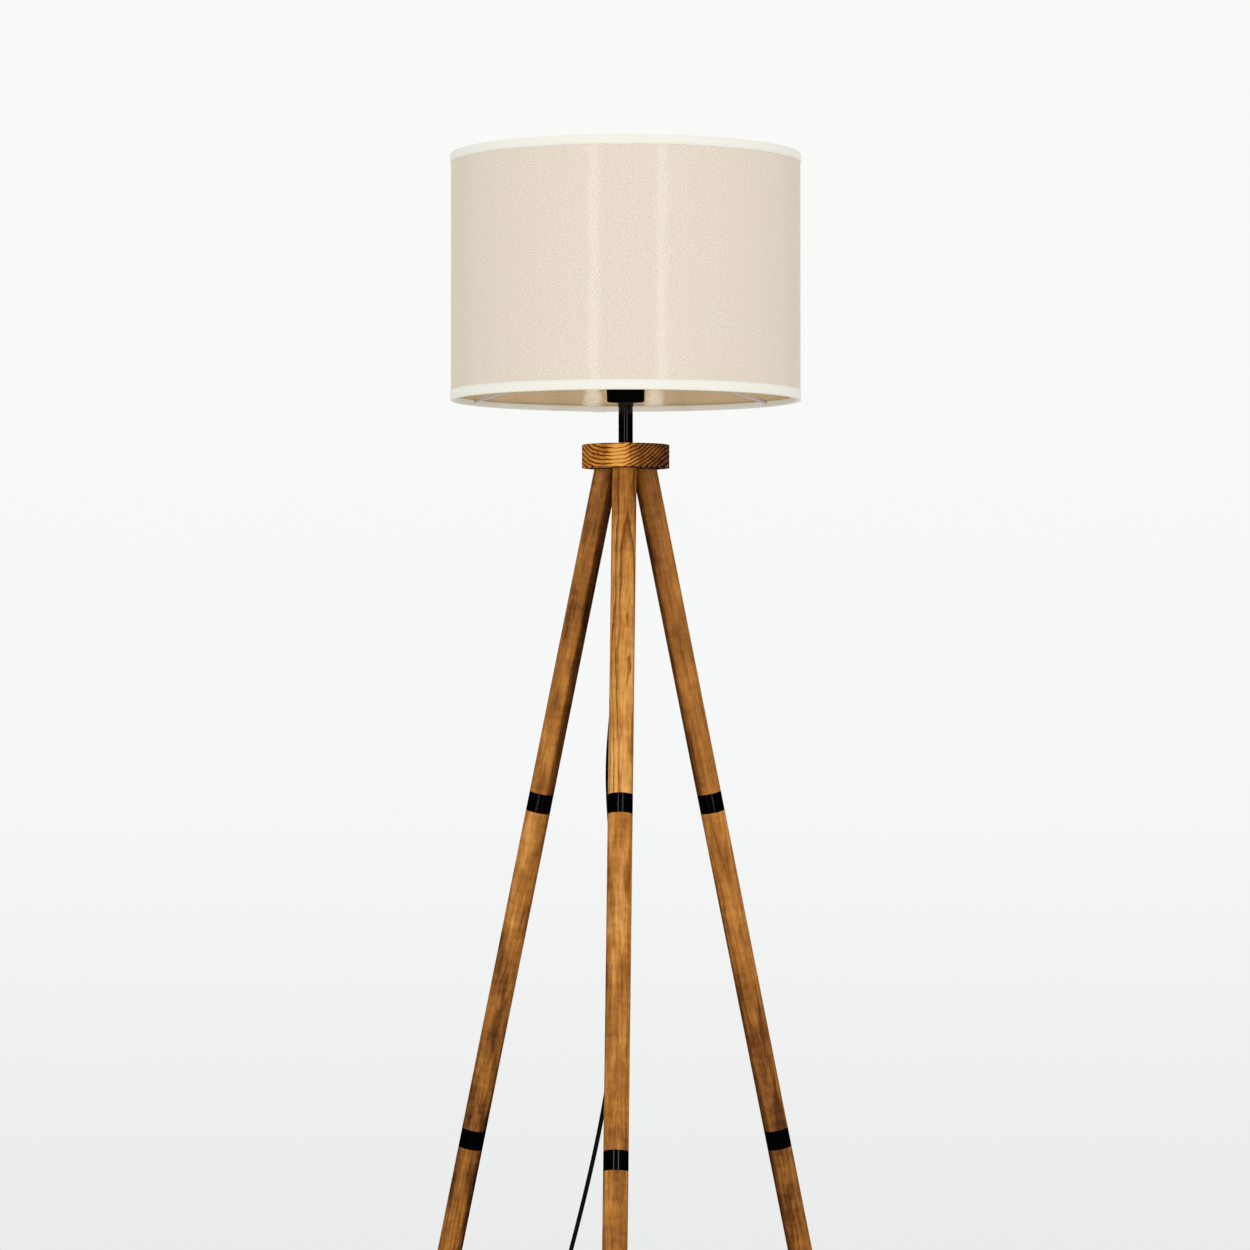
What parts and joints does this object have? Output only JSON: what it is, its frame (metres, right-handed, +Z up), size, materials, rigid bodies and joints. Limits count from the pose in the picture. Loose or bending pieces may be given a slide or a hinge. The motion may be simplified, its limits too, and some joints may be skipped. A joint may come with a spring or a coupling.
{
  "type": "tripod floor lamp",
  "caption": "Floor lamp on a splayed wooden tripod of sectional dowel legs with metal ferrules, round hub, short stem and a plain drum shade; corded foot switch.",
  "frame": {"origin": "the point of the floor plane under the hub's vertical axis, between the three feet", "axes": "+Z up along the hub, stem and shade axis; the front leg splays towards -Y and the rear legs towards +Y; +X is to the right seen from the front"},
  "size_m": [0.5472, 0.5136, 1.5291],
  "materials": {
    "hub_wood": "stained, eased edges, satin",
    "leg_wood": "stained dowel, satin lacquer",
    "black_metal": "black satin enamel",
    "zinc_steel": "zinc plated",
    "brass": "plain brass",
    "black_rubber": "matte moulded rubber",
    "holder_plastic": "black moulded thermoset, satin",
    "ceramic": "unglazed steatite",
    "bulb_cap_metal": "rolled aluminium",
    "bulb_white": "white moulded plastic",
    "bulb_opal": "opal diffuser",
    "shade_laminate": "beige fabric on a stiff laminate, satin",
    "shade_tape": "cream folded tape",
    "frame_wire": "pale grey coated wire",
    "cord_sheath": "black braided textile sheath",
    "black_plastic": "black moulded plastic, fine grain",
    "plug_nickel": "nickel plated brass"
  },
  "bodies": {
    "stand": {"bulb_cap": "bulb_cap_metal", "bulb_collar": "bulb_white", "bulb_contact": "brass", "bulb_globe": "bulb_opal", "cord_coil": "cord_sheath", "cord_floor_run": "cord_sheath", "cord_grip": "black_rubber", "cord_hanging": "cord_sheath", "cord_tail": "cord_sheath", "ferrule_front_lower": "black_metal", "ferrule_front_upper": "black_metal", "ferrule_left_lower": "black_metal", "ferrule_left_upper": "black_metal", "ferrule_right_lower": "black_metal", "ferrule_right_upper": "black_metal", "foot_front": "black_rubber", "foot_left": "black_rubber", "foot_right": "black_rubber", "holder_barrel": "holder_plastic", "holder_cap": "holder_plastic", "holder_centre_contact": "brass", "holder_collar_nut": "black_metal", "holder_screw_shell": "brass", "holder_terminal_block": "ceramic", "holder_terminal_screws": "brass", "hub_disc": "hub_wood", "inner_lead": "cord_sheath", "leg_front_lower": "leg_wood", "leg_front_middle": "leg_wood", "leg_front_upper": "leg_wood", "leg_joint_studs": "zinc_steel", "leg_left_lower": "leg_wood", "leg_left_middle": "leg_wood", "leg_left_upper": "leg_wood", "leg_right_lower": "leg_wood", "leg_right_middle": "leg_wood", "leg_right_upper": "leg_wood", "leg_threaded_inserts": "brass", "leg_top_screws": "zinc_steel", "leg_top_washers": "black_rubber", "nipple_flange_nut": "zinc_steel", "plug_body": "black_plastic", "plug_pins": "plug_nickel", "shade_nut_lower": "holder_plastic", "shade_nut_upper": "holder_plastic", "stem_nipple": "zinc_steel", "stem_tube": "black_metal", "switch_base": "black_plastic", "switch_boots": "black_rubber", "switch_cover": "black_plastic", "switch_screws": "zinc_steel", "switch_spring": "zinc_steel"},
    "shade": {"shade_drum": "shade_laminate", "shade_trim_top": "shade_tape", "shade_trim_bottom": "shade_tape", "shade_wire_top": "frame_wire", "shade_wire_bottom": "frame_wire", "spider_fitter_ring": "frame_wire", "spider_arms": "frame_wire"},
    "switch_button": {"switch_button": "black_plastic"}
  },
  "joints": [
    {"name": "shade_turn", "type": "hinge", "parent": "stand", "child": "shade", "pos_m": [0, 0, 1.2915], "axis": [0, 0, 1], "continuous": true},
    {"name": "button_press", "type": "slide", "parent": "stand", "child": "switch_button", "axis": [0, 0, -1], "range_m": [0, 0.003], "stiffness_N_per_m": 600, "springref_m": -0.003, "deforming": ["switch_spring"]}
  ]
}
